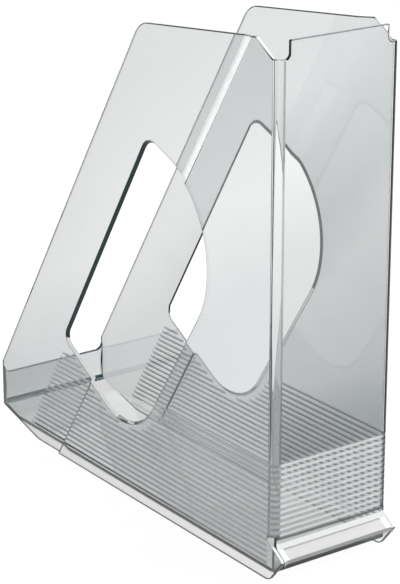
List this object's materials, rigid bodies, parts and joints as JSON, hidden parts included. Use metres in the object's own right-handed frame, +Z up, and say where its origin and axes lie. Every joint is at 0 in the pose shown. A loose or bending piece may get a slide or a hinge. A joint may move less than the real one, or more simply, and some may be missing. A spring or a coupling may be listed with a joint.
{
  "type": "magazine rack",
  "caption": "Upright clear grey magazine rack with a slanted open edge, a teardrop hole in each side, a grooved foot and a grip lip at the base of its spine.",
  "frame": {"origin": "bottom centre of the rack's box, on the surface that it stands on", "axes": "+Z up, +Y from the closed spine to the low open end, +X across the rack"},
  "size_m": [0.082, 0.299, 0.305],
  "materials": {
    "smoke_clear_wall": "clear gloss, light grey tint",
    "smoke_clear_base": "clear gloss, light grey tint"
  },
  "bodies": {
    "root": {"side_panel_left": "smoke_clear_wall", "side_panel_right": "smoke_clear_wall", "spine_panel": "smoke_clear_wall", "spine_corner_left": "smoke_clear_wall", "spine_corner_right": "smoke_clear_wall", "floor_panel": "smoke_clear_base", "toe_ramp": "smoke_clear_base", "low_end_wall": "smoke_clear_base", "grip_lip": "smoke_clear_base"}
  },
  "joints": []
}
